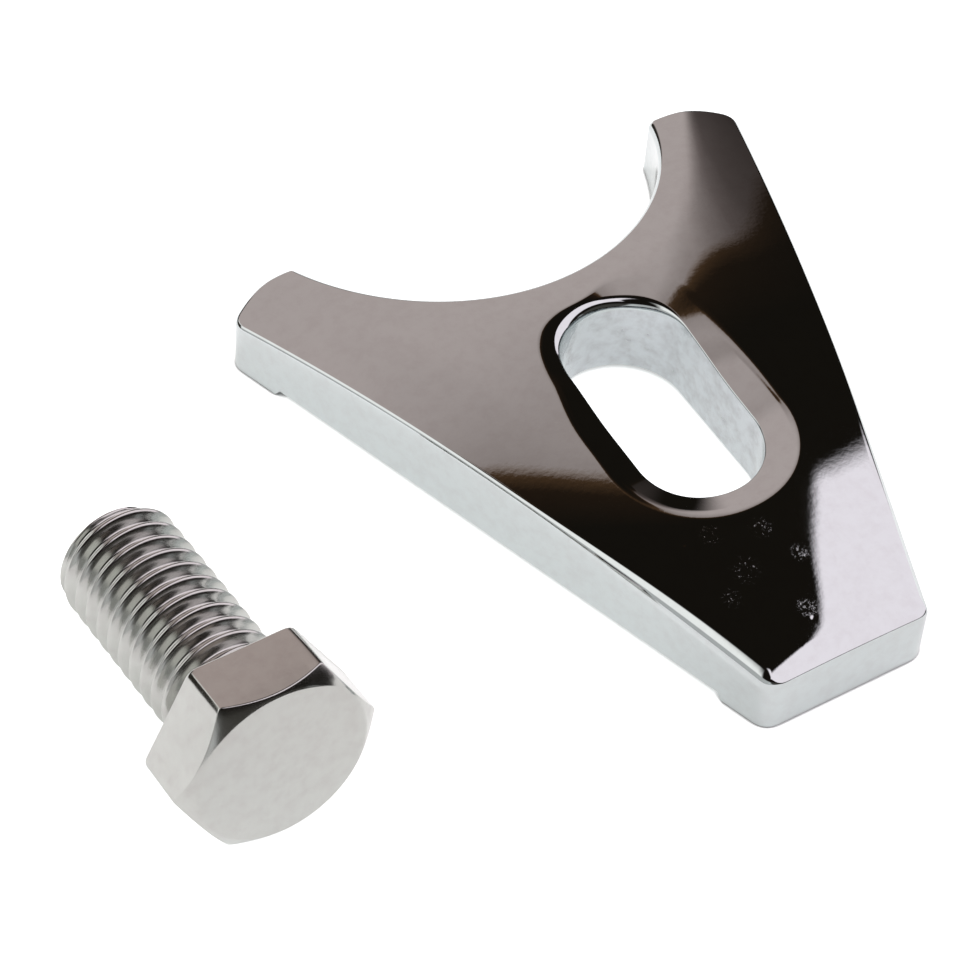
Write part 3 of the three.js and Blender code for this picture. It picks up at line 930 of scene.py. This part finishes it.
def back_screens(g, u, v, away, whole):
    """Pale screens behind the camera, for the sides that face away from the toes, and a gap in them."""
    back = g.math("MULTIPLY", g.ramp(v, -52, -62), g.ramp(away, 88, 80))
    gap = g.math("MULTIPLY", g.ramp(u, -48, -34), g.ramp(u, 60, 46))
    return g.mix(back, whole, g.mix(gap, PALE_BLUE, DARK))


def studio_world():
    """The painted studio in reflections, and a white backdrop where the camera sees past the floor."""
    world = bpy.data.worlds.new("studio")
    bpy.context.scene.world = world
    world.use_nodes = True
    g = Graph(world.node_tree)
    x, y, z = g.split(g.node("ShaderNodeTexCoord").outputs["Generated"])
    away = g.math("MULTIPLY", g.math("ARCCOSINE", z), 180 / math.pi)
    stretch = g.math("DIVIDE", away, g.math("MAXIMUM", g.length(x, y), 1e-4))
    u, v = g.math("MULTIPLY", x, stretch), g.math("MULTIPLY", y, stretch)
    whole = g.mix(1.0, rosy_panel(g, u, v), BLACK, "ADD")
    whole = g.mix(right_softbox(g, u, v), whole, LAVENDER)
    whole = left_screen(g, u, v, away, whole)
    whole = back_screens(g, u, v, away, whole)

    painted = g.node("ShaderNodeBackground")
    g.put(painted.inputs["Color"], whole)
    backdrop = g.node("ShaderNodeBackground")
    backdrop.inputs["Color"].default_value = (1, 1, 1, 1)
    backdrop.inputs["Strength"].default_value = BACKDROP_STRENGTH
    switch = g.node("ShaderNodeMixShader")
    g.put(switch.inputs[0], g.node("ShaderNodeLightPath").outputs["Is Camera Ray"])
    g.put(switch.inputs[1], painted.outputs[0])
    g.put(switch.inputs[2], backdrop.outputs[0])
    out = g.node("ShaderNodeOutputWorld")
    g.put(out.inputs["Surface"], switch.outputs[0])


# The floor, in metres. It glows, and less in front of the heel.
FLOOR_SIZE = 1.6
FLOOR_DROP = 0.00003
FLOOR_GLOW, FLOOR_GLOW_NEAR = 0.6, 0.42
FLOOR_GLOW_START_Y, FLOOR_GLOW_END_Y = -0.006, 0.012
FLOOR_SEEN = 0.45
# Painted contact shadow: the floor's glow is darkened by ambient occlusion within CONTACT_REACH of the part,
# fully dark at CONTACT_DARK and clear at CONTACT_CLEAR.
CONTACT_REACH = 0.0006
CONTACT_DARK, CONTACT_CLEAR = 0.42, 0.75


def studio_floor():
    """White paper under the part, brighter to the camera, with a painted contact shadow: its glow is darkened
    by ambient occlusion in a thin line where the part touches it.
    """
    build = bmesh.new()
    bmesh.ops.create_grid(build, x_segments=16, y_segments=16, size=FLOOR_SIZE / 2)
    mesh = bpy.data.meshes.new("floor")
    build.to_mesh(mesh)
    build.free()
    floor = bpy.data.objects.new("floor", mesh)
    floor.location.z = cad_box[0].z - FLOOR_DROP
    bpy.context.scene.collection.objects.link(floor)
    material = bpy.data.materials.new("floor_paper")
    material.use_nodes = True
    g = Graph(material.node_tree)
    paper = g.node("ShaderNodeBsdfDiffuse")
    paper.inputs["Color"].default_value = (0.86, 0.86, 0.86, 1)
    glow = g.node("ShaderNodeEmission")
    glow.inputs["Color"].default_value = (0.98, 1.0, 0.995, 1)
    _, y, _ = g.split(g.node("ShaderNodeTexCoord").outputs["Object"])
    pool = g.ramp(y, FLOOR_GLOW_START_Y, FLOOR_GLOW_END_Y, FLOOR_GLOW_NEAR, FLOOR_GLOW)
    seen = g.node("ShaderNodeLightPath").outputs["Is Camera Ray"]
    pool = g.math("ADD", pool, g.math("MULTIPLY", seen, FLOOR_SEEN))
    # Painted contact shadow: ambient occlusion darkens the glow in a thin line where the part touches the
    # floor.
    contact_shade = g.node("ShaderNodeAmbientOcclusion", samples=8)
    contact_shade.inputs["Distance"].default_value = CONTACT_REACH
    clear = g.ramp(contact_shade.outputs["AO"], CONTACT_DARK, CONTACT_CLEAR)
    g.put(glow.inputs["Strength"], g.math("MULTIPLY", pool, clear))
    both = g.node("ShaderNodeAddShader")
    g.put(both.inputs[0], paper.outputs[0])
    g.put(both.inputs[1], glow.outputs[0])
    out = g.node("ShaderNodeOutputMaterial")
    g.put(out.inputs["Surface"], both.outputs[0])
    mesh.materials.append(material)


CAMERA_AZIMUTH = math.radians(-35.98)
CAMERA_ELEVATION = math.radians(50.0)
CAMERA_ROLL = math.radians(5.20)
CAMERA_DISTANCE = 0.3239
CAMERA_LENS, CAMERA_SENSOR = 160.8, 36.0
CAMERA_TARGET = Vector((-12.56, 28.23, 0.0)) * MM


def camera():
    """The photograph's view: from the heel's side, off to the left and above."""
    data = bpy.data.cameras.new("camera")
    data.lens = CAMERA_LENS
    data.sensor_width = CAMERA_SENSOR
    data.clip_start, data.clip_end = 0.01, 10.0
    made = bpy.data.objects.new("camera", data)
    bpy.context.scene.collection.objects.link(made)
    level = Vector((math.sin(CAMERA_AZIMUTH), -math.cos(CAMERA_AZIMUTH), 0))
    back = level * math.cos(CAMERA_ELEVATION) + Vector((0, 0, math.sin(CAMERA_ELEVATION)))
    right = (-back).cross(Vector((0, 0, 1))).normalized()
    up = right.cross(-back)
    cosine, sine = math.cos(CAMERA_ROLL), math.sin(CAMERA_ROLL)
    turn = Matrix((right * cosine + up * sine, up * cosine - right * sine, back)).transposed()
    made.matrix_world = Matrix.Translation(CAMERA_TARGET + back * CAMERA_DISTANCE) @ turn.to_4x4()
    bpy.context.scene.camera = made


def soft_light(name, spot, size, power):
    """Square light that points at the frame's origin and isn't seen in the chrome."""
    data = bpy.data.lights.new(name, "AREA")
    data.shape = "SQUARE"
    data.size = size
    data.energy = power
    made = bpy.data.objects.new(name, data)
    made.location = spot
    made.rotation_euler = (Vector((0, 0, 0)) - Vector(spot)).to_track_quat("-Z", "Y").to_euler()
    made.visible_glossy = False
    bpy.context.scene.collection.objects.link(made)


# ---------------------------------------------------------------- the scene
bpy.context.scene.view_settings.view_transform = "Standard"
camera()
studio_world()
studio_floor()
soft_light("right_softbox", (0.45, 0.06, 0.52), 0.35, 1.0)
soft_light("overhead_softbox", (-0.1, -0.25, 0.9), 0.6, 0.8)

chrome = metal("polished_chrome", base=(0.60, 0.64, 0.64), dark=(0.57, 0.60, 0.60),
               roughness=(0.015, 0.04, 0.025), bumps=[(90, 0.00004, 1), (2600, 0.0000010, 3)],
               finish=scuffed)
cast_chrome = metal("cast_chrome_wall", base=(0.61, 0.645, 0.66), dark=(0.50, 0.52, 0.53),
                    roughness=(0.16, 0.28, 0.08), bumps=[(500, 0.00009, 2), (2200, 0.000015, 3)])
plate = metal("plated_screw", base=(0.53, 0.54, 0.515), dark=(0.50, 0.50, 0.48),
              roughness=(0.13, 0.21, 0.05), bumps=[(200, 0.00002, 2), (3000, 0.0000025, 3)],
              finish=turned_face)

clamp = build_clamp(chrome, cast_chrome)
bpy.context.scene.collection.objects.link(clamp)
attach(clamp, "clamp")
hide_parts("hold_down_clamp")

screw = build_screw(plate)
bpy.context.scene.collection.objects.link(screw)
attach(screw, "screw")
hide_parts("hex_cap_screw")
